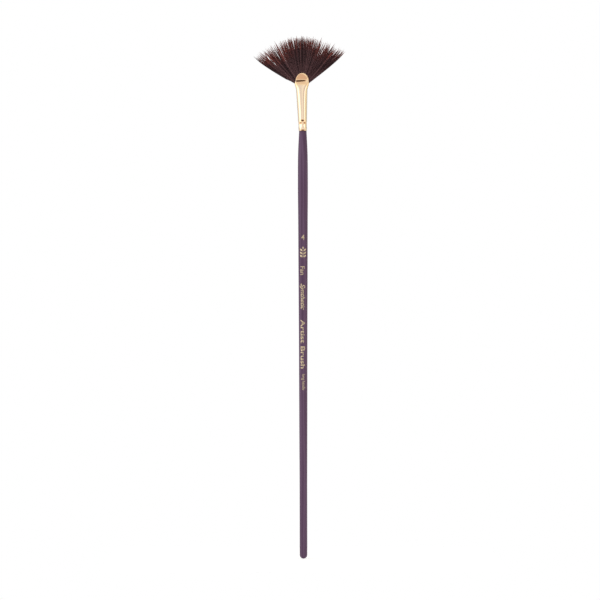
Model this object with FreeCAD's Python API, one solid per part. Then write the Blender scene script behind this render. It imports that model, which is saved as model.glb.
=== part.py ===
"""Long-handled artist's fan brush, modelled as its separate pieces.

The brush stands on the tail end of its handle: the origin is the middle of that rounded end, +Z runs
up the handle to the hair, the fan spreads along X, and the front of the fan, which carries the foil
print, faces -Y. All lengths are in millimetres.

Pieces, from the tail up:
  handle_core        turned wood, with the tenon that sits inside the ferrule
  handle_lacquer     the dipped lacquer coat on the wood, as a thin closed shell
  foil_*             hot-foil print on the lacquer
  ferrule            seamless metal tube: round and crimped at its foot, pressed flat at its mouth,
                     with a domed lip on each face
  glue_plug          the resin that bonds the hair inside the ferrule
  binding_thread     the thread whipped round the root of the hair bundle
  hair_base          the hair bundle inside the ferrule and as far as the top of the domed lips
  hair_lock_NN       the free hair of the fan, one solid for each lock
The locks bend together, forwards and backwards, about a line along X just above the lips.
"""

import FreeCAD, Part
import math
import os

V = FreeCAD.Vector
X_AXIS, Y_AXIS, Z_AXIS = V(1, 0, 0), V(0, 1, 0), V(0, 0, 1)
PARTS = "parts"

# Handle
TAIL_RADIUS = 2.32  # of the straight tail and of its rounded end
TAIL_STRAIGHT_TOP = 45.0
HANDLE_OUTLINE = [(85.0, 2.48), (135.0, 2.60), (178.0, 2.80), (208.0, 2.92), (232.0, 3.06), (251.0, 2.85)]
NECK_RADIUS = 2.28  # where the handle meets the ferrule
TAIL_SLOPE, NECK_SLOPE = 0.003, -0.040  # of the radius, at the two ends of the outline
LACQUER = 0.18  # several dipped coats
TENON_TOP = 277.6

# Ferrule: height, half width, half depth and squareness (2 is an ellipse) from its foot upwards
FERRULE_PROFILE = [
    (263.0, 2.58, 2.58, 2.0),
    (271.0, 2.72, 2.72, 2.0),
    (279.0, 3.05, 2.80, 2.0),
    (285.2, 3.29, 2.60, 2.0),
    (288.4, 3.46, 2.38, 2.1),
    (290.0, 3.84, 2.12, 2.3),
    (291.4, 4.26, 1.78, 2.8),
    (292.4, 4.40, 1.54, 3.6),
    (293.2, 4.32, 1.40, 4.8),
    (295.0, 4.32, 1.20, 8.0),
    (300.5, 4.32, 1.20, 8.0),
]
FOOT = FERRULE_PROFILE[0][0]
MOUTH_HALF_WIDTH, LIP_HALF_DEPTH = FERRULE_PROFILE[-1][1:3]
WALL = 0.3
MOUTH_SIDE = 292.3  # where the sides of the mouth are cut open
SHOULDER_TOP = 293.7  # the cut slopes in from the sides to here, and the domed lips stand on it
LIP_HALF_WIDTH, LIP_MIDDLE = 3.86, -0.35  # the dome's, and where its middle is along X
MOUTH_SHIFT = -0.55  # the ferrule leans, so its mouth sits a little to the left of the handle's axis
LEAN_FOOT, LEAN_TOP = 262.0, 286.0
LIP_TOP = 298.45
# The skin's control points: how many go round, and (from height, up to height, spacing) for the rows
AROUND = 96
ROWS = [(263.0, 271.0, 0.3), (271.0, 287.0, 2.0), (287.0, 296.0, 0.4), (296.0, 300.5, 1.5)]
FOOT_TURN_IN, FOOT_TURN_HEIGHT = 0.12, 0.7  # of the rim of the foot
CREASE_HEIGHT, CREASE_SPREAD, CREASE_DEPTH = 293.72, 0.45, 0.22
CREASE_MIDDLE, CREASE_HALF_WIDTH = -0.9, 3.0  # along X, from the middle of the mouth
CREASE_SLANT = 0.05

# Crimp: rings of dents round the foot, each (height, dents, first angle, radius, depth)
CRIMP_RINGS = [
    (269.4, 3, 0.0, 0.5, 0.38),
    (268.0, 6, 30.0, 0.5, 0.28),
    (266.2, 6, 30.0, 1.2, 0.2),
    (263.6, 6, 0.0, 0.8, 0.3),
]

# Inside the ferrule
BUNDLE_FOOT, BUNDLE_RADIUS, BUNDLE_FULL = 279.6, 1.75, 286.0
THREAD_START, THREAD_TURNS, THREAD_PITCH = 280.4, 6, 0.3
THREAD_DEPTH, THREAD_RIDGE = 0.2, 0.08  # of a turn, to the hollow between turns and from there to its top

# Fan of hair. Angles are in degrees from +Z, and negative to the left of a viewer at -Y.
FAN_APEX = 289.0
FAN_MIDDLE = -0.45  # along X
FAN_LEFT, FAN_RIGHT = -59.6, 52.3
TIPS_DRAWN_IN = 0.045  # how much closer to the middle the tips are, as a share of their angle
HAIR_REACH = 31.7  # from the apex to the tips in the middle of the fan
EDGE_EXTRA, EDGE_POWER = 3.2, 4  # the hair at the edges is longer
LOCKS = 22
LOCK_UNEVEN = 0.16  # how uneven the locks are, as a share of a lock's width
SHOULDER = 0.78  # from here out, as a share of its reach, a lock narrows to its tip
TIP_SHARE = 0.42  # of a lock's width that its tip keeps
BASE_TOP = 299.35
HINGE = 300.2  # the line that the free hair bends about
HAIR_HALF_DEPTH, TIP_HALF_DEPTH = 0.75, 0.4
LIP_CLEARANCE = 0.02  # between the hair and the lips

# Foil print: name: (lowest height, highest height, half width)
FOIL = 0.05
PRINT = {
    "foil_size_number": (196.0, 199.2, 1.1),
    "foil_emblem": (184.6, 192.2, 1.9),
    "foil_type_word": (174.2, 180.1, 1.5),
    "foil_series_word": (153.0, 169.3, 1.9),
    "foil_hair_words": (116.8, 147.1, 1.6),
    "foil_handle_words": (103.6, 113.5, 1.2),
}


def at(radius, angle, height):
    """The point at a radius and an angle from the front, in degrees, round the brush's axis."""
    turn = math.radians(angle)
    return V(radius * math.sin(turn), -radius * math.cos(turn), height)


def slab(low, high, half=60.0):
    """A block that holds everything between two heights."""
    return Part.makeBox(2 * half, 2 * half, high - low, V(-half, -half, low))


def revolve(edges):
    """The solid swept by a closed outline in the XZ plane, turned about Z."""
    face = Part.Face(Part.Wire(edges))
    return face.revolve(V(0, 0, 0), Z_AXIS, 360)


def line(start, end):
    return Part.LineSegment(start, end).toShape()


def plate(points, half_depth):
    """A flat outline in the XZ plane, given as (x, z) points, made as thick as twice half_depth."""
    wire = Part.makePolygon([V(x, -half_depth, z) for x, z in [*points, points[0]]])
    return Part.Face(wire).extrude(Y_AXIS * (2 * half_depth))


# ---- Handle ----


def handle_outline(offset):
    """The edges of the handle's outline from its tail end to its neck, moved out by offset."""
    tail = TAIL_RADIUS + offset
    neck = NECK_RADIUS + offset
    slant = math.sqrt(0.5)
    end = Part.Arc(
        V(0, 0, -offset),
        V(tail * slant, 0, TAIL_RADIUS - tail * slant),
        V(tail, 0, TAIL_RADIUS),
    ).toShape()
    straight = line(V(tail, 0, TAIL_RADIUS), V(tail, 0, TAIL_STRAIGHT_TOP))
    points = [V(tail, 0, TAIL_STRAIGHT_TOP)]
    points += [V(radius + offset, 0, height) for height, radius in HANDLE_OUTLINE]
    points.append(V(neck, 0, FOOT))
    belly = Part.BSplineCurve()
    belly.interpolate(
        Points=points,
        InitialTangent=V(TAIL_SLOPE, 0, 1),
        FinalTangent=V(NECK_SLOPE, 0, 1),
        Scale=True,
    )
    return [end, straight, belly.toShape()]


def handle_blank(offset):
    """The whole handle below its tenon as one solid, moved out by offset."""
    edges = handle_outline(offset)
    edges.append(line(V(NECK_RADIUS + offset, 0, FOOT), V(0, 0, FOOT)))
    edges.append(line(V(0, 0, FOOT), V(0, 0, -offset)))
    return revolve(edges)


def handle_core(cavity):
    """The turned wood: the handle under its lacquer, and a tenon that the crimp has bitten into."""
    tenon = cavity.common(slab(FOOT - 1, TENON_TOP))
    return handle_blank(-LACQUER).fuse(tenon)


def handle_lacquer():
    return handle_blank(0).cut(handle_blank(-LACQUER))


def foil(low, high, half_width):
    """A patch of foil on the front of the handle."""
    reach = TAIL_RADIUS * 3
    patch = Part.makeBox(2 * half_width, reach, high - low, V(-half_width, -reach, low))
    return handle_blank(FOIL).common(patch).cut(handle_blank(0))


# ---- Ferrule ----


def profile_at(height):
    """The half width, half depth and squareness of the ferrule at a height."""
    for low, high in zip(FERRULE_PROFILE, FERRULE_PROFILE[1:]):
        if height <= high[0]:
            break
    share = (height - low[0]) / (high[0] - low[0])
    return [a + share * (b - a) for a, b in zip(low[1:], high[1:])]


def lean(height):
    """How far the ferrule's middle is from the handle's axis at a height, along X."""
    share = (height - LEAN_FOOT) / (LEAN_TOP - LEAN_FOOT)
    return MOUTH_SHIFT * min(max(share, 0), 1)


def dent(turn, height):
    """How far the skin is pressed in by the crimp at an angle round the axis and a height."""
    half_width = profile_at(height)[0]
    depth = FOOT_TURN_IN * math.exp(-(((height - FOOT) / FOOT_TURN_HEIGHT) ** 2))
    for ring_height, dents, first, radius, ring_depth in CRIMP_RINGS:
        step = 2 * math.pi / dents
        away = (turn - math.radians(first) + step / 2) % step - step / 2
        distance = math.hypot(away * half_width, height - ring_height)
        depth += ring_depth * math.exp(-((distance / radius) ** 2))
    return depth


def skin_point(turn, height, inset):
    """A control point of the ferrule's skin, moved in by inset. The turn is from the front."""
    half_width, half_depth, squareness = profile_at(height)
    pressed = inset + dent(turn, height)
    s, c = math.sin(turn), math.cos(turn)
    swell = (abs(s) ** squareness + abs(c) ** squareness) ** (-1 / squareness)
    x = (half_width - pressed) * s * swell
    y = -(half_depth - pressed) * c * swell
    across = math.exp(-(((x - CREASE_MIDDLE) / CREASE_HALF_WIDTH) ** 6))
    middle = CREASE_HEIGHT + CREASE_SLANT * (x - CREASE_MIDDLE)
    crease = CREASE_DEPTH * across * math.exp(-(((height - middle) / CREASE_SPREAD) ** 2))
    return V(x + lean(height), y - math.copysign(crease, y), height)


def row_heights():
    heights = [FOOT]
    for low, high, spacing in ROWS:
        count = round((high - low) / spacing)
        heights += [low + (high - low) * i / count for i in range(1, count + 1)]
    return heights


def tube(inset):
    """The ferrule's whole shape before its mouth is cut out, moved in by inset."""
    # control points stand a little outside a smooth closed curve, so they are moved out to suit
    spread = 3 / (2 + math.cos(2 * math.pi / AROUND))
    heights = row_heights()
    poles = []
    for i in range(AROUND):
        turn = 2 * math.pi * i / AROUND
        column = [skin_point(turn, height, inset) for height in heights]
        poles.append([V(p.x * spread, p.y * spread, p.z) for p in column])
    inner_knots = len(heights) - 4
    skin = Part.BSplineSurface()
    skin.buildFromPolesMultsKnots(
        poles,
        [1] * (AROUND + 1),
        [4] + [1] * inner_knots + [4],
        list(range(AROUND + 1)),
        list(range(inner_knots + 2)),
        True,
        False,
        3,
        3,
    )
    side = skin.toShape()
    ends = [edge for edge in side.Edges if edge.BoundBox.ZLength < 0.01]
    shell = Part.makeShell([side, *[Part.Face(Part.Wire(end)) for end in ends]])
    shell.sewShape()
    return Part.makeSolid(shell)


def dome():
    """Everything below the outline of the lips: a dome on sloping shoulders."""
    reach = 10.0
    oval = Part.Ellipse(
        V(LIP_MIDDLE, -reach, LIP_TOP),
        V(LIP_MIDDLE + LIP_HALF_WIDTH, -reach, SHOULDER_TOP),
        V(LIP_MIDDLE, -reach, SHOULDER_TOP),
    )
    prism = Part.Face(Part.Wire(oval.toShape())).extrude(Y_AXIS * (2 * reach))
    side = MOUTH_HALF_WIDTH + 0.02
    shoulders = plate(
        [
            (MOUTH_SHIFT - side, MOUTH_SIDE),
            (MOUTH_SHIFT + side, MOUTH_SIDE),
            (LIP_MIDDLE + LIP_HALF_WIDTH, SHOULDER_TOP),
            (LIP_MIDDLE - LIP_HALF_WIDTH, SHOULDER_TOP),
        ],
        reach,
    )
    return prism.common(slab(MOUTH_SIDE, LIP_TOP + 1)).fuse(shoulders).fuse(slab(FOOT - 1, MOUTH_SIDE, reach))


def ferrule(cavity):
    return tube(0).cut(cavity).common(dome())


# ---- Inside the ferrule ----


def hair_bundle(cavity):
    """The hair inside the ferrule: a bound root that widens to fill the metal."""
    root = Part.makeCylinder(BUNDLE_RADIUS, BUNDLE_FULL - BUNDLE_FOOT, V(0, 0, BUNDLE_FOOT))
    filled = cavity.common(slab(BUNDLE_FULL, MOUTH_SIDE))
    return root.fuse(filled)


def binding_thread():
    """The turns of thread pulled tight round the bound root, as one ridged sleeve."""
    high = THREAD_START + THREAD_TURNS * THREAD_PITCH
    hollow = BUNDLE_RADIUS + THREAD_DEPTH
    edges = [
        line(V(BUNDLE_RADIUS, 0, high), V(BUNDLE_RADIUS, 0, THREAD_START)),
        line(V(BUNDLE_RADIUS, 0, THREAD_START), V(hollow, 0, THREAD_START)),
    ]
    for turn in range(THREAD_TURNS):
        low = THREAD_START + turn * THREAD_PITCH
        ridge = V(hollow + THREAD_RIDGE, 0, low + THREAD_PITCH / 2)
        edges.append(Part.Arc(V(hollow, 0, low), ridge, V(hollow, 0, low + THREAD_PITCH)).toShape())
    edges.append(line(V(hollow, 0, high), V(BUNDLE_RADIUS, 0, high)))
    return revolve(edges)


def glue_plug(cavity, base, thread):
    """The resin round the bound root of the bundle."""
    return cavity.common(slab(TENON_TOP, BUNDLE_FULL)).cut(base.fuse(thread))


# ---- Hair ----


def ray(angle, reach):
    """The (x, z) point at a reach from the fan's apex."""
    turn = math.radians(angle)
    return (FAN_MIDDLE + reach * math.sin(turn), FAN_APEX + reach * math.cos(turn))


def ray_at_height(angle, height):
    return (FAN_MIDDLE + (height - FAN_APEX) * math.tan(math.radians(angle)), height)


def hair_reach(angle):
    """How far the hair reaches from the apex at an angle."""
    edge = FAN_LEFT if angle < 0 else FAN_RIGHT
    return HAIR_REACH + EDGE_EXTRA * (angle / edge) ** EDGE_POWER


def hair_base(cavity, metal):
    """The bundle in the ferrule with the hair that fans out between and beside the lips."""
    half_depth = LIP_HALF_DEPTH - WALL - LIP_CLEARANCE
    low = MOUTH_SIDE - 0.1
    corner = MOUTH_SIDE + 0.9
    inside = MOUTH_HALF_WIDTH - WALL / 2
    outline = [
        (MOUTH_SHIFT - inside, low),
        ray_at_height(FAN_LEFT, corner),
        ray_at_height(FAN_LEFT, BASE_TOP),
        ray_at_height(FAN_RIGHT, BASE_TOP),
        ray_at_height(FAN_RIGHT, corner),
        (MOUTH_SHIFT + inside, low),
    ]
    return hair_bundle(cavity).fuse(plate(outline, half_depth)).cut(metal)


def lock_edges():
    """The angles between the locks, from left to right, a little uneven as in real hair."""
    step = (FAN_RIGHT - FAN_LEFT) / LOCKS
    angles = [FAN_LEFT]
    for i in range(1, LOCKS):
        uneven = LOCK_UNEVEN * step * math.sin(2.4 * i * i)
        angles.append(FAN_LEFT + i * step + uneven)
    return [*angles, FAN_RIGHT]


def hair_depth():
    """The depth of the free hair: rounded at the line it bends about, and thinner at the tips."""
    top = FAN_APEX + HAIR_REACH + 2
    far = 60.0
    foot = Part.Arc(
        V(-far, -HAIR_HALF_DEPTH, HINGE),
        V(-far, 0, HINGE - HAIR_HALF_DEPTH),
        V(-far, HAIR_HALF_DEPTH, HINGE),
    ).toShape()
    corners = [
        V(-far, HAIR_HALF_DEPTH, HINGE),
        V(-far, TIP_HALF_DEPTH, top),
        V(-far, -TIP_HALF_DEPTH, top),
        V(-far, -HAIR_HALF_DEPTH, HINGE),
    ]
    edges = [foot, *[line(a, b) for a, b in zip(corners, corners[1:])]]
    return Part.Face(Part.Wire(edges)).extrude(X_AXIS * (2 * far))


def hair_lock(left, right, depth):
    """One lock between two angles: full as far as its shoulder, then narrowing to its tip."""
    reach = hair_reach((left + right) / 2)
    middle = (left + right) / 2 * (1 - TIPS_DRAWN_IN)
    half_tip = (right - left) / 2 * TIP_SHARE
    low = HINGE - HAIR_HALF_DEPTH
    outline = [
        ray_at_height(left, low),
        ray(left, reach * SHOULDER),
        ray(middle - half_tip, reach * 0.985),
        ray(middle, reach),
        ray(middle + half_tip, reach * 0.985),
        ray(right, reach * SHOULDER),
        ray_at_height(right, low),
    ]
    return plate(outline, HAIR_HALF_DEPTH + 1).common(depth)


# ---- All pieces ----


def pieces():
    """Every piece by name."""
    cavity = tube(WALL)
    metal = ferrule(cavity)
    base = hair_base(cavity, metal)
    thread = binding_thread()
    made = {
        "handle_core": handle_core(cavity),
        "handle_lacquer": handle_lacquer(),
        "ferrule": metal,
        "glue_plug": glue_plug(cavity, base, thread),
        "binding_thread": thread,
        "hair_base": base,
    }
    for name, (low, high, half_width) in PRINT.items():
        made[name] = foil(low, high, half_width)
    depth = hair_depth()
    edges = lock_edges()
    for number, (left, right) in enumerate(zip(edges, edges[1:]), start=1):
        made[f"hair_lock_{number:02d}"] = hair_lock(left, right, depth)
    return made


def main():
    os.makedirs(PARTS, exist_ok=True)
    for name, shape in pieces().items():
        solids = shape.Solids
        print(name, len(solids), "solids", round(shape.Volume, 3), "mm3", shape.isValid())
        solid = solids[0] if len(solids) == 1 else Part.makeCompound(solids)
        solid.exportStep(os.path.join(PARTS, name + ".step"))


main()
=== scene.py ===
"""The look of a long-handled artist's fan brush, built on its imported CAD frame.

The brush stands on its tail end at the origin, +Z up the handle to the hair, with the printed front
facing -Y. Lengths are written in millimetres, and MM turns them into metres. Angles in the fan are in
degrees from +Z, negative to the left of a viewer in front.
"""

import math

import bmesh
import bpy
import numpy as np
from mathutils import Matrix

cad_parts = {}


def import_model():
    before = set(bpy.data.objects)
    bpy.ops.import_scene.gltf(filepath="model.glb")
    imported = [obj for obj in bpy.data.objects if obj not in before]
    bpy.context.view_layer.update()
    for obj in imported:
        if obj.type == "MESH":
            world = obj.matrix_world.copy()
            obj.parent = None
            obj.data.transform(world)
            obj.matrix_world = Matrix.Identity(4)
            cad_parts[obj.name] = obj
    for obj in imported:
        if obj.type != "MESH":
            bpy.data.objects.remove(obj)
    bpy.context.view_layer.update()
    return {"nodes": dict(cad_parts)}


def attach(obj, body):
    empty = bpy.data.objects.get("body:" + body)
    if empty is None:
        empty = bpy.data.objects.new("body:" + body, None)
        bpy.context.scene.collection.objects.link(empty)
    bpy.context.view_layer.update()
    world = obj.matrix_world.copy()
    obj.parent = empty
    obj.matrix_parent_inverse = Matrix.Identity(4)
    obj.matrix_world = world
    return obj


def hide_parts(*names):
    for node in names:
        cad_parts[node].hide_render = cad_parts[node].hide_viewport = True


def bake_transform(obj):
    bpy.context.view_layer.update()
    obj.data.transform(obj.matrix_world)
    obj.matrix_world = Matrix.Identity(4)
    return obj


MM = 0.001
BRUSH, TUFT = "brush", "tuft"

# Handle: its outline is (height, radius) from the straight tail to the neck
TAIL_RADIUS = 2.32
TAIL_STRAIGHT_TOP = 45.0
HANDLE_OUTLINE = [(85.0, 2.48), (135.0, 2.60), (178.0, 2.80), (208.0, 2.92), (232.0, 3.06), (251.0, 2.85)]
NECK_RADIUS = 2.28
TAIL_SLOPE, NECK_SLOPE = 0.003, -0.040  # of the radius, at the two ends of the outline
NECK_HOLE = 1.9  # the radius that the lacquer is closed in to, under the ferrule
HANDLE_COLUMNS, TAIL_ROWS, HANDLE_ROWS = 96, 14, 140

# Foil print
FOIL_LIFT, FOIL_THICKNESS = 0.012, 0.024
FOIL_STRIP = 0.25  # across the handle, the width of the flat strips that the print is bent in
# Each line's piece, words, two sides across the handle, lowest and highest height, whether it reads towards
# the tail, slant and weight. A piece's CAD node has the same name after "foil_".
FOIL_WORDS = [
    ("size_number", "4", -1.1, 1.0, 195.9, 199.2, False, 0.0, 0.005),
    ("type_word", "Fan", -1.7, 1.0, 174.4, 179.7, True, 0.0, 0.005),
    ("series_word", "Synthetic", -2.3, 1.3, 152.9, 169.1, True, 0.45, 0.015),
    ("hair_words", "Artist Brush", -1.6, 1.1, 116.9, 146.9, True, 0.0, 0.015),
    ("handle_words", "long handle", -1.2, 1.2, 103.7, 113.4, True, 0.0, 0.005),
]
TWIG_LEAVES = (186.0, 187.9, 189.8)  # the heights of the emblem's pairs of leaves

# Ferrule: height, half width, half depth and squareness (2 is an ellipse) from its foot upwards
FERRULE_PROFILE = [
    (263.0, 2.58, 2.58, 2.0),
    (271.0, 2.72, 2.72, 2.0),
    (279.0, 3.05, 2.80, 2.0),
    (285.2, 3.29, 2.60, 2.0),
    (288.4, 3.46, 2.38, 2.1),
    (290.0, 3.84, 2.12, 2.3),
    (291.4, 4.26, 1.78, 2.8),
    (292.4, 4.40, 1.54, 3.6),
    (293.2, 4.32, 1.40, 4.8),
    (295.0, 4.32, 1.20, 8.0),
    (300.5, 4.32, 1.20, 8.0),
]
FOOT = FERRULE_PROFILE[0][0]
MOUTH_HALF_WIDTH = FERRULE_PROFILE[-1][1]
WALL = 0.3
MOUTH_SIDE, SHOULDER_TOP, LIP_TOP = 292.3, 293.7, 298.45
LIP_HALF_WIDTH, LIP_MIDDLE = 3.86, -0.35
MOUTH_SHIFT = -0.55  # the ferrule leans, so its mouth sits a little to the left of the handle's axis
LEAN_FOOT, LEAN_TOP = 262.0, 286.0
# The skin's control points: how many go round, and (from height, up to height, spacing) for the rows
AROUND = 96
ROWS = [(263.0, 271.0, 0.3), (271.0, 287.0, 2.0), (287.0, 296.0, 0.4), (296.0, 300.5, 1.5)]
FOOT_TURN_IN, FOOT_TURN_HEIGHT = 0.12, 0.7  # of the rim of the foot
# The crease pressed under each lip; its line also places the painted shade in the crease
CREASE_HEIGHT, CREASE_SPREAD, CREASE_DEPTH = 293.72, 0.45, 0.22
CREASE_MIDDLE, CREASE_HALF_WIDTH, CREASE_SLANT = -0.9, 3.0, 0.05
# Rings of dents round the foot: height, dents, first angle, radius and depth
CRIMP_RINGS = [
    (269.4, 3, 0.0, 0.5, 0.38),
    (268.0, 6, 30.0, 0.5, 0.28),
    (266.2, 6, 30.0, 1.2, 0.2),
    (263.6, 6, 0.0, 0.8, 0.3),
]
# Painted shade spots in the crimp's dents: height, number round the foot, first angle, width, tallness and
# darkness
CRIMP_RADIUS = 2.7  # of the foot there
CRIMP_SHADE_SPOTS = [
    (269.3, 3, 0.0, 1.15, 0.62, 1.0),
    (267.85, 6, 30.0, 0.95, 0.72, 0.65),
    (263.3, 3, 0.0, 1.4, 0.6, 0.9),
]
LIP_EDGE_WIDTH, LIP_EDGE_TURN = 1.0, 0.16  # how the edges of the lips turn in towards the hair
FERRULE_COLUMNS, SKIN_SAMPLES = 192, 3000  # columns of points, and how many heights each is worked out at
CRIMP_TOP, CRIMP_STEP, NECK_TOP = 271.5, 0.12, 287.0  # close rows at the crimp, then a few up to the neck
FOOT_INSIDE = 0.86  # the radius of the foot's inside edge, as a share of its outside one
RIM_BULGE = 0.4  # how far the mouth's rounded rim stands out, as a share of the wall

# Fan of hair
FAN_APEX = 289.0
FAN_MIDDLE = -0.45  # along X
FAN_LEFT, FAN_RIGHT = -59.6, 52.3
TIPS_DRAWN_IN = 0.045  # how much closer to the middle the tips are, as a share of their angle
# How far the hair reaches from the apex in the middle, and how much further at the fan's edges
HAIR_REACH = 31.7
EDGE_EXTRA, EDGE_POWER = 3.2, 4
LOCKS, LOCK_UNEVEN = 22, 0.16  # how many locks, and how uneven they are, as a share of their width
# Where hair parts: angle, half width and how far along it starts
PARTINGS = [
    (-47.5, 0.9, 0.58),
    (-36.0, 0.4, 0.74),
    (-29.5, 0.3, 0.78),
    (-23.0, 0.3, 0.8),
    (-17.5, 0.5, 0.74),
    (-10.6, 0.6, 0.74),
    (9.0, 0.35, 0.85),
    (15.0, 0.4, 0.82),
    (24.5, 0.5, 0.78),
    (29.0, 0.6, 0.75),
    (35.0, 0.6, 0.76),
    (42.5, 0.5, 0.72),
    (47.0, 0.45, 0.72),
]
# How wide the wisps of hair that cling together are, in degrees, across the fan
WISP_WIDTHS = [
    (-55, 1.3),
    (-45, 1.9),
    (-22, 1.9),
    (-12, 1.5),
    (4, 1.2),
    (16, 1.4),
    (24, 1.9),
    (36, 1.9),
    (45, 1.3),
]
# How uneven the tips are across the fan, as a share of the hair's length
FAN_SOFTNESS = [(-50, 0.13), (-33, 0.17), (-18, 0.06), (0, 0.05), (14, 0.08), (28, 0.15), (40, 0.1)]
# How red the hair is along its length, and how much redder it is where the fan is warmest
HAIR_RED = [(0.2, 0.064), (0.4, 0.052), (0.55, 0.04), (0.75, 0.04), (0.84, 0.07), (0.92, 0.13), (1.0, 0.18)]
EXTRA_RED = [(0.4, 0.0), (0.55, 0.018), (0.65, 0.03), (0.75, 0.045), (0.85, 0.07), (1.0, 0.08)]
FAN_WARMTH = [
    (-57, 0.4),
    (-50, 0.6),
    (-33, 1.0),
    (-20, 0.6),
    (-5, 0.1),
    (8, 0.0),
    (15, 0.3),
    (28, 0.8),
    (45, 0.0),
]
# Each tint's name and colour, and how red a stretch of hair is before it takes the next tint
# The lighter plain tints partly stand for painted sheen on the hair, and the darker ones also take the
# painted shadow at the edges of wisps.
PLAIN_TINTS = [
    ("black", (0.036, 0.015, 0.0165), 0.030),
    ("dark", (0.060, 0.025, 0.027), 0.046),
    ("brown", (0.098, 0.044, 0.046), 0.072),
    ("pale", (0.145, 0.070, 0.072), 9.0),
]
WARM_TINTS = [
    ("umber", (0.078, 0.024, 0.023), 0.055),
    ("red", (0.120, 0.035, 0.031), 0.085),
    ("copper", (0.185, 0.050, 0.042), 0.130),
    ("tip", (0.29, 0.080, 0.064), 9.0),
]
WARM_FROM = 0.058  # how red a stretch is before it takes the second list
HAIRS_PER_DEGREE, HAIR_LAYERS, HAIR_SIDES = 56, 3, 3
HAIR_RADIUS = 0.045
# How wisps vary: their edges, as a share of their width and as degrees between layers, then their drift in
# degrees, how far forwards they stand and the spread of their redness, whose lighter and darker streaks are
# partly random tone and partly painted sheen and shading of the clumps
WISP_UNEVEN, LAYER_UNEVEN = 0.12, 0.12
WISP_DRIFT, WISP_LIFT, WISP_SHADE = 0.1, 0.07, 0.42
# How hairs vary: their ends in degrees, their depth at the tips and the spread of their redness
HAIR_DRIFT, HAIR_DEPTH, LAYER_DEPTH, HAIR_SHADE = 0.1, 0.2, 0.1, 0.18
STRAY_SHARE, STRAY_DRIFT = 0.03, 2.0  # of the hairs, and in degrees
# Painted shadow: the hairs at the edges of a wisp are made less red, so darker, where wisps shade each other.
WISP_EDGE_SHADOW = 0.45  # how much less red the hairs at the edges of a wisp are
TAPER_FROM, TIP_TAPER = 0.78, 0.8  # where hairs start to thin, along them, and by how much at their tips
HAIR_STEPS = np.array([0.0, 0.07, 0.14, 0.28, 0.46, 0.62, 0.76, 0.86, 0.94, 1.0])  # a hair's points, along it
HAIR_BODY = [(0.0, 0.62), (0.15, 0.66), (0.3, 0.78), (1.0, 0.34)]  # half the fan's depth, along the hair
HAIR_LIFT = [(0.0, 0.0), (0.28, 0.0), (0.5, 1.0), (1.0, 1.0)]  # where wisps stand forwards, along the hair
ROOT_HEIGHT = 290.6
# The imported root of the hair: height and largest half width. Its sides are a little inside the fan's.
ROOT_ROWS = [(291.0, 3.6), (292.6, 3.6), (298.8, 20.0)]
ROOT_INSIDE, ROOT_HALF_DEPTH = 3, 0.4  # in degrees, and in millimetres
MOUTH_HAIR = 3.85  # half the width of the hair where it comes out of the mouth

# Studio. Azimuth is from the front of the brush, in degrees to its right.
BRIGHTEST = 1.6
# The walls: azimuth, brightness and tone
STUDIO_BANDS = [
    (-179.9, 0.12, (1, 1, 1)),
    (-160, 0.15, (1, 1, 1)),
    (-140, 0.6, (1, 1, 1)),
    (-101, 1.0, (1, 1, 1)),
    (-80, 1.05, (1, 1, 1)),
    (-72, 1.5, (1, 1, 1)),
    (-46, 1.4, (1, 1, 1)),
    (-36, 1.0, (1, 1, 1)),
    (-22, 0.83, (1, 0.99, 1.06)),
    (-6, 0.87, (1, 0.99, 1.06)),
    (6, 1.02, (1, 1, 1)),
    (16, 1.02, (1, 1, 1)),
    (27, 0.72, (1, 0.93, 0.98)),
    (42, 0.72, (1, 0.93, 0.98)),
    (48, 1.5, (1, 1, 1)),
    (56, 1.5, (1, 1, 1)),
    (65, 0.82, (1, 0.92, 0.74)),
    (95, 0.9, (1, 0.97, 0.82)),
    (125, 0.85, (1, 1, 0.9)),
    (145, 0.15, (1, 1, 1)),
    (179.9, 0.12, (1, 1, 1)),
]
# The soft lights: name, azimuth, width and power, then how far away, how high and how tall they are
SOFTBOXES = [("left_softbox", -62, 500.0, 0.6), ("right_softbox", 58, 200.0, 0.2)]
LIGHT_AWAY, LIGHT_MIDDLE, LIGHT_TALL = 900.0, 220.0, 1000.0
# The camera: how far away it is, how much it sees from side to side, where it stands and its roll in degrees
CAMERA_DISTANCE, CAMERA_FIELD = 2500.0, 369.0
CAMERA_X, CAMERA_Z, CAMERA_ROLL = -1.9, 159.0, 0.1
FLOOR_HALF, FLOOR_GAP = 120, 0.3  # half its side, and how far below the tail end it lies

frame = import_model()


# ---- Shared helpers ----


def material(name, colour, roughness, metallic=0.0, specular=0.5):
    """A plain material, to use as it is or to add nodes to."""
    made = bpy.data.materials.new(name)
    made.use_nodes = True
    shader = made.node_tree.nodes["Principled BSDF"]
    shader.inputs["Base Color"].default_value = (*colour, 1)
    shader.inputs["Roughness"].default_value = roughness
    shader.inputs["Metallic"].default_value = metallic
    shader.inputs["Specular IOR Level"].default_value = specular
    return made


def mesh_object(name, points, faces, materials, smooth=True):
    """A mesh object from points in millimetres."""
    mesh = bpy.data.meshes.new(name)
    mesh.from_pydata((np.asarray(points) * MM).tolist(), [], faces)
    mesh.polygons.foreach_set("use_smooth", [smooth] * len(mesh.polygons))
    for one in materials:
        mesh.materials.append(one)
    mesh.update()
    made = bpy.data.objects.new(name, mesh)
    bpy.context.scene.collection.objects.link(made)
    return made


def grid_faces(rows, columns, first=0):
    """Quads over rows of points, each row a closed ring, from the first point's number."""
    faces = []
    for row in range(rows - 1):
        for column in range(columns):
            beside = (column + 1) % columns
            low, high = first + row * columns, first + (row + 1) * columns
            faces.append((low + column, low + beside, high + beside, high + column))
    return faces


def smooth_step(low, high, value):
    """0 up to low, 1 from high, and an S-shaped rise between them."""
    share = np.clip((np.asarray(value, float) - low) / (high - low), 0, 1)
    return share * share * (3 - 2 * share)


def read_table(table, at):
    """The value in a list of (place, value) rows at each place, with straight lines between the rows."""
    return np.interp(at, *np.array(table).T[:2])


# ---- Materials ----


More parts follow.
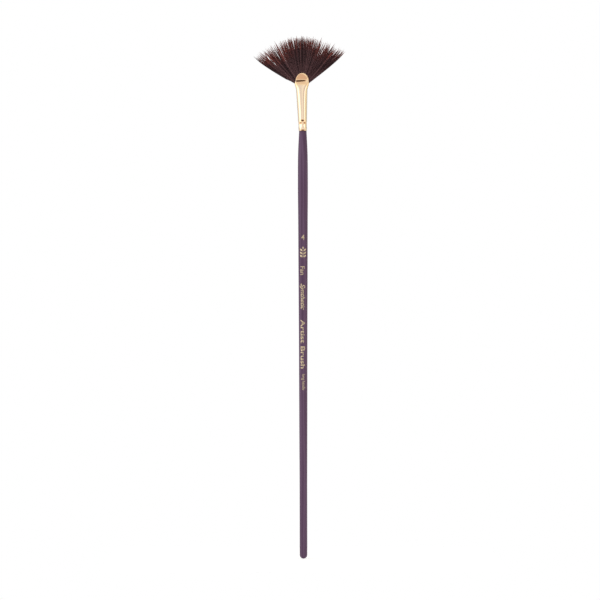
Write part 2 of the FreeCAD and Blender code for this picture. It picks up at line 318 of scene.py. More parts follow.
def add_noise(nodes, links, scale, detail=2.0):
    """A noise texture over the row frame, stretched by scale along X, Y and Z in turns per metre."""
    place = nodes.new("ShaderNodeTexCoord")
    stretch = nodes.new("ShaderNodeMapping")
    stretch.inputs["Scale"].default_value = scale
    noise = nodes.new("ShaderNodeTexNoise")
    noise.inputs["Scale"].default_value = 1.0
    noise.inputs["Detail"].default_value = detail
    links.new(place.outputs["Object"], stretch.inputs["Vector"])
    links.new(stretch.outputs["Vector"], noise.inputs["Vector"])
    return noise


def add_ramp(nodes, links, source, stops):
    """A colour ramp of (position, colour) stops, driven by a socket."""
    ramp = nodes.new("ShaderNodeValToRGB")
    elements = ramp.color_ramp.elements
    while len(elements) < len(stops):
        elements.new(0.5)
    for element, (position, colour) in zip(elements, stops):
        element.position = position
        element.color = (*colour, 1)
    links.new(source, ramp.inputs["Fac"])
    return ramp


def add_bump(nodes, links, source, shader, strength, distance):
    """Roughens a shader's surface with a socket's pattern."""
    bump = nodes.new("ShaderNodeBump")
    bump.inputs["Strength"].default_value = strength
    bump.inputs["Distance"].default_value = distance
    links.new(source, bump.inputs["Height"])
    links.new(bump.outputs["Normal"], shader.inputs["Normal"])


def lacquer_material():
    """Dusky purple lacquer with the wood's grain just showing as lengthwise streaks."""
    made = material("purple_lacquer", (0.1, 0.05, 0.085), 0.5, specular=0.06)
    nodes, links = made.node_tree.nodes, made.node_tree.links
    shader = nodes["Principled BSDF"]
    grain = add_noise(nodes, links, (900, 900, 14), 3.0)
    stops = [(0.36, (0.085, 0.048, 0.083)), (0.5, (0.106, 0.061, 0.104)), (0.64, (0.130, 0.078, 0.128))]
    ramp = add_ramp(nodes, links, grain.outputs["Fac"], stops)
    links.new(ramp.outputs["Color"], shader.inputs["Base Color"])
    add_bump(nodes, links, grain.outputs["Fac"], shader, 0.15, 0.00004)
    return made


def ferrule_material():
    """Polished pale gold, duller and redder on the pressed faces of the lips, with painted shade darkening it
    to near black in the crease, under the lips and in the crimp's dents, and a painted deeper-gold reflection
    on the turned edges.
    """
    gold, polished, pressed_dull = (0.93, 0.74, 0.52), 0.14, 0.62
    # The stops run from polished gold through a painted deeper-gold reflection and the copper of the lips'
    # faces to near-black painted shade.
    stops = [(0.0, gold), (0.12, (0.95, 0.69, 0.40)), (0.5, (0.72, 0.45, 0.26)), (1.0, (0.08, 0.034, 0.013))]
    made = material("pale_gold", gold, polished, metallic=1.0)
    nodes, links = made.node_tree.nodes, made.node_tree.links
    shader = nodes["Principled BSDF"]
    # The "pressed" attribute holds the lips' duller faces together with painted shade and a painted
    # reflection.
    pressed = nodes.new("ShaderNodeAttribute")
    pressed.attribute_name = "pressed"
    colours = add_ramp(nodes, links, pressed.outputs["Fac"], stops)
    links.new(colours.outputs["Color"], shader.inputs["Base Color"])
    dull = nodes.new("ShaderNodeMapRange")
    dull.inputs["To Min"].default_value = polished
    dull.inputs["To Max"].default_value = pressed_dull
    dull.inputs["From Max"].default_value = 0.5
    links.new(pressed.outputs["Fac"], dull.inputs["Value"])
    links.new(dull.outputs["Result"], shader.inputs["Roughness"])
    return made


def foil_material():
    """Matt gold foil, stamped a little unevenly."""
    made = material("gold_foil", (0.53, 0.43, 0.275), 0.36, metallic=0.85)
    nodes, links = made.node_tree.nodes, made.node_tree.links
    uneven = add_noise(nodes, links, (1600, 1600, 1600), 3.0)
    stops = [(0.34, (0.42, 0.33, 0.205)), (0.5, (0.54, 0.44, 0.28)), (0.66, (0.62, 0.51, 0.335))]
    ramp = add_ramp(nodes, links, uneven.outputs["Fac"], stops)
    links.new(ramp.outputs["Color"], nodes["Principled BSDF"].inputs["Base Color"])
    return made


def inside_material(name, scale, stops, roughness):
    """A material for a piece inside the brush: a colour ramp over stretched noise."""
    made = material(name, stops[1][1], roughness)
    nodes, links = made.node_tree.nodes, made.node_tree.links
    shader = nodes["Principled BSDF"]
    noise = add_noise(nodes, links, scale, 3.0)
    ramp = add_ramp(nodes, links, noise.outputs["Fac"], stops)
    links.new(ramp.outputs["Color"], shader.inputs["Base Color"])
    add_bump(nodes, links, noise.outputs["Fac"], shader, 0.3, 0.00005)
    return made


def dress_inside():
    """Wood, resin and thread on the pieces that the frame keeps as they are."""
    wood = [(0.3, (0.40, 0.24, 0.12)), (0.5, (0.56, 0.38, 0.21)), (0.7, (0.66, 0.48, 0.29))]
    resin = [(0.3, (0.30, 0.15, 0.04)), (0.5, (0.42, 0.24, 0.07)), (0.7, (0.55, 0.34, 0.12))]
    thread = [(0.3, (0.50, 0.45, 0.36)), (0.5, (0.68, 0.63, 0.53)), (0.7, (0.80, 0.76, 0.67))]
    finishes = {
        "handle_core": inside_material("beech_grain", (1100, 1100, 20), wood, 0.55),
        "glue_plug": inside_material("amber_resin", (500, 500, 500), resin, 0.25),
        "binding_thread": inside_material("cotton_thread", (800, 800, 9000), thread, 0.8),
    }
    for node, finish in finishes.items():
        frame["nodes"][node].material_slots[0].material = finish


def hair_materials():
    """Dark brown synthetic hair, in the tints that stretches of single hairs have; the lighter plain tints
    partly stand for painted sheen.
    """
    tints = PLAIN_TINTS + WARM_TINTS
    return [material(f"hair_{name}", colour, 0.45, specular=0.2) for name, colour, _ in tints]


def hair_root_material():
    """The same dark hair, packed tight, as fine upright streaks."""
    made = material("hair_packed", PLAIN_TINTS[1][1], 0.5, specular=0.2)
    nodes, links = made.node_tree.nodes, made.node_tree.links
    shader = nodes["Principled BSDF"]
    streaks = add_noise(nodes, links, (9000, 9000, 250))
    stops = [(0.35, PLAIN_TINTS[0][1]), (0.5, PLAIN_TINTS[1][1]), (0.68, PLAIN_TINTS[2][1])]
    ramp = add_ramp(nodes, links, streaks.outputs["Fac"], stops)
    links.new(ramp.outputs["Color"], shader.inputs["Base Color"])
    return made


# ---- Handle ----


def handle_radius(heights):
    """The handle's radius at each height: a rounded end, a straight tail and a long soft belly."""
    z = np.asarray(heights, float)
    knots = [(TAIL_STRAIGHT_TOP, TAIL_RADIUS), *HANDLE_OUTLINE, (FOOT, NECK_RADIUS)]
    at = np.array([knot[0] for knot in knots])
    radius = np.array([knot[1] for knot in knots])
    slope = np.gradient(radius, at)
    slope[0], slope[-1] = TAIL_SLOPE, NECK_SLOPE
    span = np.clip(np.searchsorted(at, z, side="right") - 1, 0, len(at) - 2)
    length = at[span + 1] - at[span]
    t = np.clip((z - at[span]) / length, 0, 1)
    belly = (
        (2 * t**3 - 3 * t**2 + 1) * radius[span]
        + (t**3 - 2 * t**2 + t) * length * slope[span]
        + (3 * t**2 - 2 * t**3) * radius[span + 1]
        + (t**3 - t**2) * length * slope[span + 1]
    )
    end = np.sqrt(np.clip(TAIL_RADIUS**2 - (TAIL_RADIUS - z) ** 2, 0, None))
    return np.where(z < TAIL_RADIUS, end, np.where(z < TAIL_STRAIGHT_TOP, TAIL_RADIUS, belly))


def lacquered_handle():
    """The lacquer's outside, from the tail end to the foot of the ferrule."""
    columns = HANDLE_COLUMNS
    turns = np.linspace(0, 2 * math.pi, columns, endpoint=False)
    end = TAIL_RADIUS * (1 - np.cos(np.linspace(0.06, math.pi / 2, TAIL_ROWS)))
    heights = np.concatenate([end, np.linspace(TAIL_RADIUS, FOOT, HANDLE_ROWS)[1:]])
    points = [
        (r * math.sin(turn), -r * math.cos(turn), z)
        for z, r in zip(heights, handle_radius(heights))
        for turn in turns
    ]
    faces = grid_faces(len(heights), columns)
    points.append((0, 0, 0))
    tail = len(points) - 1
    faces += [(tail, (i + 1) % columns, i) for i in range(columns)]
    last = (len(heights) - 1) * columns
    neck = [(NECK_HOLE * math.sin(turn), -NECK_HOLE * math.cos(turn), FOOT) for turn in turns]
    points += neck
    faces += [
        (last + i, last + (i + 1) % columns, tail + 1 + (i + 1) % columns, tail + 1 + i)
        for i in range(columns)
    ]
    made = mesh_object("lacquered_handle", points, faces, [lacquer_material()])
    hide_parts("handle_lacquer")
    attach(made, BRUSH)


# ---- Foil print ----


def wrap_on_handle(mesh):
    """Lays a flat mesh on the front of the handle. Its X is across the handle and its Y is the height."""
    shape = bmesh.new()
    shape.from_mesh(mesh)
    reach = max(abs(v.co.x) for v in shape.verts)
    steps = int(reach / FOIL_STRIP) + 1
    for i in range(-steps, steps + 1):
        everything = shape.verts[:] + shape.edges[:] + shape.faces[:]
        bmesh.ops.bisect_plane(shape, geom=everything, plane_co=(i * FOIL_STRIP, 0, 0), plane_no=(1, 0, 0))
    for v in shape.verts:
        across, height, lift = v.co
        radius = float(handle_radius([height])[0]) + FOIL_LIFT + FOIL_THICKNESS * lift
        turn = across / radius
        v.co = (radius * math.sin(turn) * MM, -radius * math.cos(turn) * MM, height * MM)
    shape.to_mesh(mesh)
    shape.free()


def foil_object(name, mesh, foil, node):
    """A piece of the print, which stands for a CAD node."""
    wrap_on_handle(mesh)
    mesh.materials.clear()
    mesh.materials.append(foil)
    made = bpy.data.objects.new(name, mesh)
    bpy.context.scene.collection.objects.link(made)
    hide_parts(node)
    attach(made, BRUSH)


def words_mesh(words, slant, weight):
    """Flat lettering, about one unit high, as a thin solid."""
    curve = bpy.data.curves.new(words, "FONT")
    curve.body = words
    curve.shear = slant
    curve.offset = weight
    curve.extrude = 0.5
    curve.resolution_u = 5
    lettering = bpy.data.objects.new(words, curve)
    bpy.context.scene.collection.objects.link(lettering)
    bpy.context.view_layer.update()
    mesh = bpy.data.meshes.new_from_object(lettering)
    bpy.data.objects.remove(lettering)
    return mesh


def fit_mesh(mesh, left, right, low, high, downward):
    """Scales flat lettering to fill a box. Downward lettering reads towards the tail, tops to the right."""
    flat = np.empty(len(mesh.vertices) * 3)
    mesh.vertices.foreach_get("co", flat)
    co = flat.reshape(-1, 3)
    share = (co - co.min(0)) / np.ptp(co, axis=0)
    if downward:
        across, up = share[:, 1], 1 - share[:, 0]
    else:
        across, up = share[:, 0], share[:, 1]
    placed = np.stack([left + across * (right - left), low + up * (high - low), share[:, 2]], axis=1)
    mesh.vertices.foreach_set("co", placed.ravel())
    return mesh


def flat_shapes(name, outlines):
    """A thin solid from flat outlines in millimetres."""
    shape = bmesh.new()
    for outline in outlines:
        bottom = [shape.verts.new((x, z, 0)) for x, z in outline]
        shape.faces.new(bottom)
        top = [shape.verts.new((x, z, 1)) for x, z in outline]
        shape.faces.new(top[::-1])
        for i in range(len(outline)):
            j = (i + 1) % len(outline)
            shape.faces.new((bottom[i], top[i], top[j], bottom[j]))
    bmesh.ops.recalc_face_normals(shape, faces=shape.faces)
    bmesh.ops.triangulate(shape, faces=[face for face in shape.faces if len(face.verts) > 4])
    mesh = bpy.data.meshes.new(name)
    shape.to_mesh(mesh)
    shape.free()
    return mesh


def leaf(x, z, length, width, lean):
    """A pointed leaf outline."""
    turn = math.radians(lean)
    outline = []
    for side in (1, -1):
        for i in range(8):
            t = i / 8 if side > 0 else 1 - i / 8
            along, out = (t - 0.5) * length, side * width / 2 * math.sin(math.pi * t)
            outline.append(
                (
                    x + along * math.sin(turn) + out * math.cos(turn),
                    z + along * math.cos(turn) - out * math.sin(turn),
                )
            )
    return outline


def emblem_mesh():
    """A plain ornament: an upright twig with three pairs of leaves and a leaf at its top."""
    outlines = [leaf(0, 187.2, 5.2, 0.4, 0), leaf(0, 191.0, 1.9, 0.9, 0)]
    for height in TWIG_LEAVES:
        outlines += [leaf(side * 1.15, height, 2.3, 1.05, side * 50) for side in (-1, 1)]
    return flat_shapes("emblem", outlines)


def foil_print():
    """The foil stamped on the front of the handle. Its words are general ones."""
    foil = foil_material()
    for name, words, left, right, low, high, downward, slant, weight in FOIL_WORDS:
        mesh = fit_mesh(words_mesh(words, slant, weight), left, right, low, high, downward)
        foil_object(name, mesh, foil, f"foil_{name}")
    foil_object("emblem", emblem_mesh(), foil, "foil_emblem")


# ---- Ferrule ----


def profile_at(height):
    """The half width, half depth and squareness of the ferrule at a height."""
    table = np.array(FERRULE_PROFILE)
    return [float(np.interp(height, table[:, 0], table[:, i])) for i in (1, 2, 3)]


def lean(height):
    """How far the ferrule's middle is from the handle's axis at a height, along X."""
    share = (height - LEAN_FOOT) / (LEAN_TOP - LEAN_FOOT)
    return MOUTH_SHIFT * np.clip(share, 0, 1)


def dent(turn, height):
    """How far the skin is pressed in by the crimp at an angle round the axis and a height."""
    half_width = profile_at(height)[0]
    depth = FOOT_TURN_IN * math.exp(-(((height - FOOT) / FOOT_TURN_HEIGHT) ** 2))
    for ring_height, dents, first, radius, ring_depth in CRIMP_RINGS:
        step = 2 * math.pi / dents
        away = (turn - math.radians(first) + step / 2) % step - step / 2
        distance = math.hypot(away * half_width, height - ring_height)
        depth += ring_depth * math.exp(-((distance / radius) ** 2))
    return depth


def skin_point(turn, height, inset):
    """A control point of the ferrule's skin, moved in by inset. The turn is from the front."""
    half_width, half_depth, squareness = profile_at(height)
    pressed = inset + dent(turn, height)
    s, c = math.sin(turn), math.cos(turn)
    swell = (abs(s) ** squareness + abs(c) ** squareness) ** (-1 / squareness)
    x = (half_width - pressed) * s * swell
    y = -(half_depth - pressed) * c * swell
    across = math.exp(-(((x - CREASE_MIDDLE) / CREASE_HALF_WIDTH) ** 6))
    middle = CREASE_HEIGHT + CREASE_SLANT * (x - CREASE_MIDDLE)
    crease = CREASE_DEPTH * across * math.exp(-(((height - middle) / CREASE_SPREAD) ** 2))
    return x + float(lean(height)), y - math.copysign(crease, y)


def row_heights():
    """The heights of the skin's rows of control points."""
    heights = [FOOT]
    for low, high, spacing in ROWS:
        count = round((high - low) / spacing)
        heights += [low + (high - low) * i / count for i in range(1, count + 1)]
    return np.array(heights)


def clamped_weights(count, parameters):
    """The weights of count control points along a cubic spline that starts and ends on them."""
    spans = count - 3
    knots = np.concatenate([[0] * 3, np.arange(spans + 1), [spans] * 3]).astype(float)
    t = np.clip(np.asarray(parameters) * spans, 0, spans - 1e-9)
    weights = [((knots[i] <= t) & (t < knots[i + 1])).astype(float) for i in range(len(knots) - 1)]
    for degree in (1, 2, 3):
        for i in range(len(knots) - 1 - degree):
            rise, fall = knots[i + degree] - knots[i], knots[i + degree + 1] - knots[i + 1]
            left = (t - knots[i]) / rise * weights[i] if rise else 0
            right = (knots[i + degree + 1] - t) / fall * weights[i + 1] if fall else 0
            weights[i] = left + right
    return np.stack(weights[:count], axis=1)


def looped_weights(count, parameters):
    """The weights of count control points round a closed cubic spline, at parameters in points."""
    away = np.abs((np.asarray(parameters)[:, None] - np.arange(count) + count / 2) % count - count / 2)
    near = 2 / 3 - away**2 + away**3 / 2
    far = np.clip(2 - away, 0, None) ** 3 / 6
    return np.where(away < 1, near, far)


def skin_columns(inset):
    """(heights, x, y): the ferrule's skin along each of its columns, before its mouth is cut to shape."""
    heights = row_heights()
    turns = 2 * math.pi * np.arange(AROUND) / AROUND
    spread = 3 / (2 + math.cos(2 * math.pi / AROUND))
    poles = np.array([[skin_point(turn, height, inset) for height in heights] for turn in turns]) * spread
    along = clamped_weights(len(heights), np.linspace(0, 1, SKIN_SAMPLES))
    around = looped_weights(AROUND, np.arange(FERRULE_COLUMNS) * AROUND / FERRULE_COLUMNS)
    return along @ heights, around @ poles[:, :, 0] @ along.T, around @ poles[:, :, 1] @ along.T


def dome_height(x):
    """The height of the lips' outline at each x."""
    across = np.abs(x - LIP_MIDDLE) / LIP_HALF_WIDTH
    dome = SHOULDER_TOP + (LIP_TOP - SHOULDER_TOP) * np.sqrt(np.clip(1 - across**2, 0, None))
    side = MOUTH_HALF_WIDTH + 0.02
    ends = [MOUTH_SHIFT - side, LIP_MIDDLE - LIP_HALF_WIDTH, LIP_MIDDLE + LIP_HALF_WIDTH, MOUTH_SHIFT + side]
    shoulders = np.interp(x, ends, [MOUTH_SIDE, SHOULDER_TOP, SHOULDER_TOP, MOUTH_SIDE])
    return np.where(across < 1, dome, shoulders)


def rim_distance(x, z):
    """About how far a point on a lip is from the lip's outline."""
    rise = LIP_TOP - SHOULDER_TOP
    inside = 1 - np.hypot((x - LIP_MIDDLE) / LIP_HALF_WIDTH, np.clip(z - SHOULDER_TOP, 0, None) / rise)
    return np.clip(inside, 0, None) * LIP_HALF_WIDTH


def mouth_rows(inset, count):
    """Rows of points up each column, from the neck to the lips' outline, with the lips' edges turned in."""
    heights, xs, ys = skin_columns(inset)
    rows = np.empty((count, FERRULE_COLUMNS, 3))
    for column in range(FERRULE_COLUMNS):
        over = heights - dome_height(xs[column])
        top = heights[np.argmax(over >= 0)]
        z = NECK_TOP + (top - NECK_TOP) * np.linspace(0, 1, count)
        x = np.interp(z, heights, xs[column])
        y = np.interp(z, heights, ys[column])
        on_lip = smooth_step(SHOULDER_TOP, SHOULDER_TOP + 1.0, z)
        near = np.clip(1 - rim_distance(x, z) / LIP_EDGE_WIDTH, 0, 1)
        y = y - np.sign(y) * on_lip * LIP_EDGE_TURN * near**2
        rows[:, column] = np.stack([x, y, z], axis=1)
    return rows


def lip_face(across, z, rim):
    """1 on the duller faces of the lips and 0 on their polished edges, which are made wider on the right as a
    painted highlight.
    """
    edge = 0.2 + 0.8 * smooth_step(-1.5, 2.0, across)
    return smooth_step(0.45 * edge, 0.8 * edge, rim) * smooth_step(294.5, 294.9, z)


def crease_shade_line(across, z):
    """Painted shade: 1 in the crease under each lip, which thins to the right, and 0 away from it."""
    beside = across - CREASE_MIDDLE
    thick = 0.56 - 0.03 * beside
    line = CREASE_HEIGHT + CREASE_SLANT * beside
    return np.exp(-((beside / 3.4) ** 8)) * np.exp(-(((z - line) / thick) ** 4))


def turned_edge_reflection(across, z, face):
    """A painted reflection in deeper gold: 1 on the turned edges of the lips, and a little more where the
    ferrule flares out at its sides.
    """
    lip = (1 - face) * smooth_step(SHOULDER_TOP, SHOULDER_TOP + 0.5, z)
    flare = smooth_step(288.6, 289.8, z) * (1 - smooth_step(292.4, 293.2, z))
    side = smooth_step(0.66, 0.86, np.abs(across) / read_table(FERRULE_PROFILE, z))
    return lip + 4 / 3 * flare * side


def crimp_dent_shade(turn, z):
    """How dark the painted shade in the crimp's dents is at an angle round the axis and a height."""
    dark = np.zeros_like(z)
    for height, spots, first, wide, tall, darkness in CRIMP_SHADE_SPOTS:
        step = 2 * math.pi / spots
        away = (turn - math.radians(first) + step / 2) % step - step / 2
        distance = (away * CRIMP_RADIUS / wide) ** 2 + ((z - height) / tall) ** 2
        dark += darkness * np.exp(-(distance**2))
    return dark


def dull_and_shade_share(x, y, z):
    """How dull and dark the metal is: 0.5 on the duller faces of the lips, up to 1 where painted shade lies
    deep in the crease and the dimples.

    Painted shade lies a little under the lips, and a painted deeper-gold reflection along the turned edges.
    """
    across = x - lean(z)
    rim = rim_distance(x, z)
    face = lip_face(across, z, rim)
    # painted shade on the ferrule just under the lips, where the facet tilts away from the light
    shade_below_lips = np.exp(-(((z - 292.4) / 1.0) ** 2)) * np.exp(-((across / 3.2) ** 6))
    # painted shade in the crease under each lip
    crease = crease_shade_line(across, z) * (rim > 0.1)
    # painted shade in the crimp's dents
    spots = crimp_dent_shade(np.arctan2(across, -y), z)
    return 0.5 * face + 0.12 * turned_edge_reflection(across, z, face) + 0.33 * shade_below_lips + crease + spots


def foot_rows():
    """Rows of points up each column, from the foot to the neck."""
    heights, xs, ys = skin_columns(0)
    z = np.concatenate([np.arange(FOOT, CRIMP_TOP, CRIMP_STEP), np.linspace(CRIMP_TOP, NECK_TOP, 12)[:-1]])
    rows = np.empty((len(z), FERRULE_COLUMNS, 3))
    for column in range(FERRULE_COLUMNS):
        rows[:, column, 0] = np.interp(z, heights, xs[column])
        rows[:, column, 1] = np.interp(z, heights, ys[column])
        rows[:, column, 2] = z
    return rows


def rim_rows(outer, inner):
    """Rows of points over the rounded rim of the mouth, between its outside edge and its inside edge."""
    middle, half = (outer + inner) / 2, (outer - inner) / 2
    out = np.stack([outer[:, 0] - LIP_MIDDLE, np.zeros(len(outer)), outer[:, 2] - MOUTH_SIDE], axis=1)
    out = out / np.linalg.norm(out, axis=1)[:, None] * WALL * RIM_BULGE
    turns = np.linspace(0.5, 2.64, 4)
    return np.stack([middle + half * math.cos(turn) + out * math.sin(turn) for turn in turns])


def ferrule():
    """The ferrule's outside and the inside of its mouth, joined by a rounded rim."""
    lower, outer, inner = foot_rows(), mouth_rows(0, 66), mouth_rows(WALL, 30)[::-1]
    foot_inside = lower[0] * [FOOT_INSIDE, FOOT_INSIDE, 1]
    rows = np.concatenate([foot_inside[None], lower, outer, rim_rows(outer[-1], inner[0]), inner])
    points = rows.reshape(-1, 3)
    faces = grid_faces(len(rows), FERRULE_COLUMNS)
    made = mesh_object("ferrule_tube", points, faces, [ferrule_material()])
    # The "pressed" attribute holds the lips' duller faces together with painted shade and a painted
    # reflection.
    attribute = made.data.attributes.new("pressed", "FLOAT", "POINT")
    attribute.data.foreach_set("value", np.clip(dull_and_shade_share(*points.T), 0, 1))
    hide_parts("ferrule")
    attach(made, BRUSH)


# ---- Hair ----


def hair_reach(angle):
    """How far the hair reaches from the apex at an angle."""
    edge = np.where(angle < 0, FAN_LEFT, FAN_RIGHT)
    return HAIR_REACH + EDGE_EXTRA * np.abs(angle / edge) ** EDGE_POWER


def lock_edges():
    """The angles between the locks, from left to right, as the frame has them."""
    step = (FAN_RIGHT - FAN_LEFT) / LOCKS
    inner = [FAN_LEFT + i * step + LOCK_UNEVEN * step * math.sin(2.4 * i * i) for i in range(1, LOCKS)]
    return [FAN_LEFT, *inner, FAN_RIGHT]


def part_hair(angle, shares):
    """Moves hair away from the partings, more towards the tips."""
    for parting, width, first in PARTINGS:
        away = angle - parting
        push = width * np.exp(-((away / (1.6 * width)) ** 2))
        angle = angle + np.sign(away) * push * smooth_step(first, 0.95, shares)
    return angle


def wisp_traits(wisps, chance):
    """How much each wisp of a lock gathers, drifts sideways, outgrows the others and stands forwards."""
    gather = chance.uniform(0.2, 0.55, wisps)
    drift = chance.normal(0, WISP_DRIFT, wisps)
    longer = chance.normal(0, 1, wisps)
    lift = chance.normal(0, WISP_LIFT, wisps)
    return gather, drift, longer, lift


def hair_ends(start, middle, gather, drift, chance):
    """The angle that each hair ends at, closer to its wisp's middle unless it is one of the few strays."""
    count = len(start)
    stray = chance.normal(0, STRAY_DRIFT, count) * (chance.uniform(size=count) < STRAY_SHARE)
    end = middle + (start - middle) * (1 - gather) + drift + stray + chance.normal(0, HAIR_DRIFT, count)
    return np.clip(end, FAN_LEFT - 0.5, FAN_RIGHT + 0.5) * (1 - TIPS_DRAWN_IN)


def hair_outline(start, angle, share):
    """(x, z) of each hair's points, kept inside the mouth. Share is of the fan's full reach."""
    low = (ROOT_HEIGHT - FAN_APEX) / np.cos(np.radians(start))
    out = low[:, None] + (hair_reach(start) * share - low)[:, None] * HAIR_STEPS
    turn = np.radians(angle)
    x, z = out * np.sin(turn), FAN_APEX + out * np.cos(turn)
    limit = MOUTH_HAIR + np.clip(z - MOUTH_SIDE - 0.2, 0, None) * 4
    return FAN_MIDDLE + np.clip(x, -limit, limit), z


def hair_redness(start):
    """How red each stretch of each hair is."""
    warmth = read_table(FAN_WARMTH, start)[:, None]
    along = (HAIR_STEPS[1:] + HAIR_STEPS[:-1]) / 2
    return read_table(HAIR_RED, along) + warmth * read_table(EXTRA_RED, along)


def hair_paths(edges, shades, low_deep, high_deep, chance):
    """(points, radii, angle, redness, shade): one layer of a lock's hairs, whose wisps have these edges.

    Points are hairs by steps by 3. Redness is for each stretch of each hair, and shade for each hair.
    """
    wisps = len(edges) - 1
    count = int(HAIRS_PER_DEGREE * (edges[-1] - edges[0]) / HAIR_LAYERS)
    start = chance.uniform(edges[0], edges[-1], count)
    layer_edges = edges[1:-1] + chance.normal(0, LAYER_UNEVEN, wisps - 1)
    wisp = np.searchsorted(layer_edges, start)
    middle = ((edges[1:] + edges[:-1]) / 2)[wisp]
    half = ((edges[1:] - edges[:-1]) / 2)[wisp]
    offset = np.clip(np.abs(start - middle) / half, 0, 1)
    softness = read_table(FAN_SOFTNESS, start)
    gather, drift, longer, lift = [trait[wisp] for trait in wisp_traits(wisps, chance)]
    gather = gather * np.clip(0.5 + 3 * softness, 0, 1.2)
    longer = longer * (0.015 + 0.08 * softness)
    end = hair_ends(start, middle, gather, drift, chance)
    bend = HAIR_STEPS**5
    angle = part_hair(start[:, None] * (1 - bend) + end[:, None] * bend, HAIR_STEPS)
    shorter = 0.7 * offset**1.3 + 0.3 * chance.uniform(size=count)
    x, z = hair_outline(start, angle, 1.0 + 0.22 * softness + longer - softness * shorter)
    deep = chance.uniform(low_deep, high_deep, count)[:, None]
    tip_deep = chance.normal(0, HAIR_DEPTH, count)[:, None] + chance.normal(0, LAYER_DEPTH)
    body = read_table(HAIR_BODY, HAIR_STEPS)
    y = deep * body + tip_deep * HAIR_STEPS**1.5 + lift[:, None] * read_table(HAIR_LIFT, HAIR_STEPS)
    thin = 1 - TIP_TAPER * smooth_step(TAPER_FROM, 1.0, HAIR_STEPS)
    radii = HAIR_RADIUS * chance.uniform(0.8, 1.2, count)[:, None] * thin
    # A hair's shade: its wisp's streak, less the painted shadow at the wisp's edges, plus random tone of its
    # own.
    shade = shades[wisp] - WISP_EDGE_SHADOW * smooth_step(0.45, 1.0, offset) + chance.normal(0, HAIR_SHADE, count)
    return np.stack([x, y, z], axis=2), radii, angle, hair_redness(start), shade


def hair_tints(redness, shade, chance):
    """The material of each stretch of each hair."""
    level = redness * np.exp(shade)[:, None]
    plain = np.digitize(level, [limit for _, _, limit in PLAIN_TINTS[:-1]])
    warm = np.digitize(level, [limit for _, _, limit in WARM_TINTS[:-1]]) + len(PLAIN_TINTS)
    mixed = redness * np.exp(chance.normal(0, 0.2, len(redness)))[:, None]
    along = np.arange(redness.shape[1]) / redness.shape[1]
    return np.where((mixed > WARM_FROM) & (along > 0.5), warm, plain)


def hair_mesh(name, points, radii, angle, tints, materials):
    """Tapered three-sided hairs, each ending in a point. Tints are hairs by stretches."""
    hairs, steps = points.shape[:2]
    sides = HAIR_SIDES
    turn = np.radians(angle)
    flat = np.stack([np.cos(turn), np.zeros_like(turn), -np.sin(turn)], axis=2)
    deep = np.array([0.0, 1.0, 0.0])
    rings = []
    for side in range(sides):
        round_turn = 2 * math.pi * side / sides
        out = math.cos(round_turn) * flat + math.sin(round_turn) * deep
        rings.append(points + radii[:, :, None] * out)
    body = np.stack(rings, axis=2)[:, :-1].reshape(hairs, -1, 3)
    vertices = np.concatenate([body, points[:, -1:]], axis=1).reshape(-1, 3)
    per_hair = (steps - 1) * sides + 1
    faces = []
    for hair in range(hairs):
        first = hair * per_hair
        faces += grid_faces(steps - 1, sides, first)
        last = first + (steps - 2) * sides
        tip = first + per_hair - 1
        faces += [(last + i, last + (i + 1) % sides, tip) for i in range(sides)]
    made = mesh_object(name, vertices, faces, materials)
    made.data.polygons.foreach_set("material_index", np.repeat(tints, sides, axis=1).ravel())
    return made


def hair():
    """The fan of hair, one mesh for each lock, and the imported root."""
    materials = hair_materials()
    chance = np.random.RandomState(11)
    edges = lock_edges()
    depths = np.linspace(-1, 1, HAIR_LAYERS + 1)
    for number, (left, right) in enumerate(zip(edges, edges[1:]), start=1):
        width = float(read_table(WISP_WIDTHS, (left + right) / 2))
        wisps = max(2, round((right - left) / width))
        uneven = chance.normal(0, WISP_UNEVEN, wisps - 1)
        inner = left + (right - left) * (np.arange(1, wisps) + uneven) / wisps
        wisp_edges = np.concatenate([[left], inner, [right]])
        # Each wisp's streak: partly random tone and partly painted sheen and shading of the clumps
        shades = chance.normal(0, WISP_SHADE, wisps)
        layers = [hair_paths(wisp_edges, shades, low, high, chance) for low, high in zip(depths, depths[1:])]
        points, radii, angle, redness, shade = [np.concatenate(part) for part in zip(*layers)]
        tints = hair_tints(redness, shade, chance)
        made = hair_mesh(f"hair_{number:02d}", points, radii, angle, tints, materials)
        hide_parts(f"hair_lock_{number:02d}")
        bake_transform(made)
    root = hair_root()
    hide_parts("hair_base")
    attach(root, BRUSH)


def hair_root():
    """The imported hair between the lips, behind the loose hairs."""
    sides = []
    for angle in (FAN_LEFT + ROOT_INSIDE, FAN_RIGHT - ROOT_INSIDE):
        slope = math.tan(math.radians(angle))
        xs = [max(-limit, min(limit, (height - FAN_APEX) * slope)) for height, limit in ROOT_ROWS]
        sides.append([(FAN_MIDDLE + x, height) for x, (height, _) in zip(xs, ROOT_ROWS)])
    left, right = sides
    outline = left[:1] + right + left[:0:-1]
    count = len(outline)
    points = [(x, y, z) for y in (-ROOT_HALF_DEPTH, ROOT_HALF_DEPTH) for x, z in outline]
    faces = [tuple(range(count)), tuple(range(2 * count - 1, count - 1, -1))]
    faces += [(i, i + count, (i + 1) % count + count, (i + 1) % count) for i in range(count)]
    return mesh_object("hair_root", points, faces, [hair_root_material()], smooth=False)


# ---- Studio ----


def floor():
    """A small white floor under the tail end, just large enough to catch its shadow."""
    pale = material("floor_white", (0.85, 0.85, 0.85), 0.9, specular=0.0)
    shader = pale.node_tree.nodes["Principled BSDF"]
    shader.inputs["Emission Color"].default_value = (1, 1, 1, 1)
    shader.inputs["Emission Strength"].default_value = 0.4
    corners = [(x * FLOOR_HALF, y * FLOOR_HALF, -FLOOR_GAP) for x, y in [(-1, -1), (1, -1), (1, 1), (-1, 1)]]
    mesh_object("floor", corners, [(0, 1, 2, 3)], [pale], smooth=False)


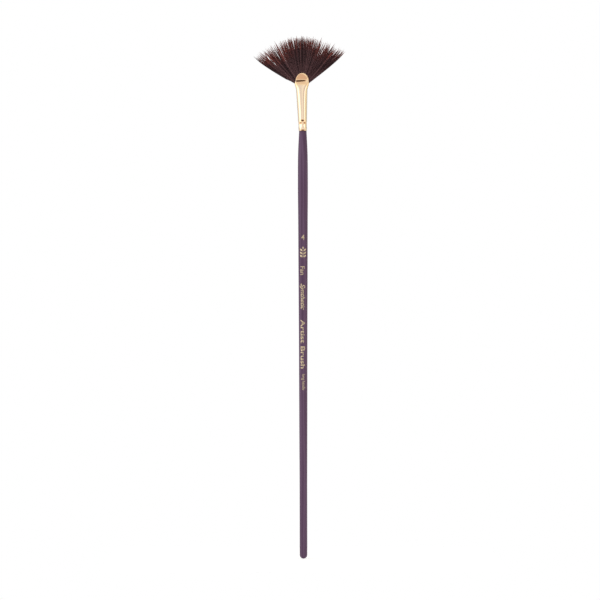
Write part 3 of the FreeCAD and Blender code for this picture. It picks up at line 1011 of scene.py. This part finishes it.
def world():
    """White all round as the camera sees it, with soft darker bands for the metal to reflect."""
    made = bpy.data.worlds.new("studio")
    bpy.context.scene.world = made
    made.use_nodes = True
    nodes, links = made.node_tree.nodes, made.node_tree.links
    place = nodes.new("ShaderNodeTexCoord")
    split = nodes.new("ShaderNodeSeparateXYZ")
    links.new(place.outputs["Generated"], split.inputs["Vector"])
    ahead = nodes.new("ShaderNodeMath")
    ahead.operation = "MULTIPLY"
    ahead.inputs[1].default_value = -1.0
    links.new(split.outputs["Y"], ahead.inputs[0])
    azimuth = nodes.new("ShaderNodeMath")
    azimuth.operation = "ARCTAN2"
    share = nodes.new("ShaderNodeMapRange")
    share.inputs["From Min"].default_value = -math.pi
    share.inputs["From Max"].default_value = math.pi
    links.new(split.outputs["X"], azimuth.inputs[0])
    links.new(ahead.outputs["Value"], azimuth.inputs[1])
    links.new(azimuth.outputs["Value"], share.inputs["Value"])
    bands = [
        ((180 + turn) % 360 / 360, tuple(level / BRIGHTEST * part for part in tone))
        for turn, level, tone in STUDIO_BANDS
    ]
    ramp = add_ramp(nodes, links, share.outputs["Result"], sorted(bands))
    background = nodes["Background"]
    links.new(ramp.outputs["Color"], background.inputs["Color"])
    background.inputs["Strength"].default_value = BRIGHTEST
    white = nodes.new("ShaderNodeBackground")
    white.inputs["Color"].default_value = (1, 1, 1, 1)
    white.inputs["Strength"].default_value = 1.0
    seen = nodes.new("ShaderNodeLightPath")
    mix = nodes.new("ShaderNodeMixShader")
    links.new(seen.outputs["Is Camera Ray"], mix.inputs["Fac"])
    links.new(background.outputs["Background"], mix.inputs[1])
    links.new(white.outputs["Background"], mix.inputs[2])
    links.new(mix.outputs["Shader"], nodes["World Output"].inputs["Surface"])


def lights():
    """Upright soft lights beside the brush, facing it."""
    for name, azimuth, width, power in SOFTBOXES:
        light = bpy.data.lights.new(name, "AREA")
        light.shape = "RECTANGLE"
        light.size, light.size_y = width * MM, LIGHT_TALL * MM
        light.energy = power
        made = bpy.data.objects.new(name, light)
        turn, away = math.radians(azimuth), LIGHT_AWAY * MM
        made.location = (away * math.sin(turn), -away * math.cos(turn), LIGHT_MIDDLE * MM)
        made.rotation_euler = (math.radians(90), 0, turn)
        made.visible_camera = False
        bpy.context.scene.collection.objects.link(made)


def camera():
    """Square on to the fan, level with the middle of the brush, through a long lens."""
    data = bpy.data.cameras.new("camera")
    data.sensor_width = 36.0
    data.lens = data.sensor_width * CAMERA_DISTANCE / CAMERA_FIELD
    data.clip_end = 100
    made = bpy.data.objects.new("camera", data)
    made.location = (CAMERA_X * MM, -CAMERA_DISTANCE * MM, CAMERA_Z * MM)
    made.rotation_euler = (math.radians(90), math.radians(CAMERA_ROLL), 0)
    bpy.context.scene.collection.objects.link(made)
    bpy.context.scene.camera = made


lacquered_handle()
foil_print()
ferrule()
hair()
dress_inside()
floor()
world()
lights()
camera()
bpy.context.scene.view_settings.view_transform = "Standard"
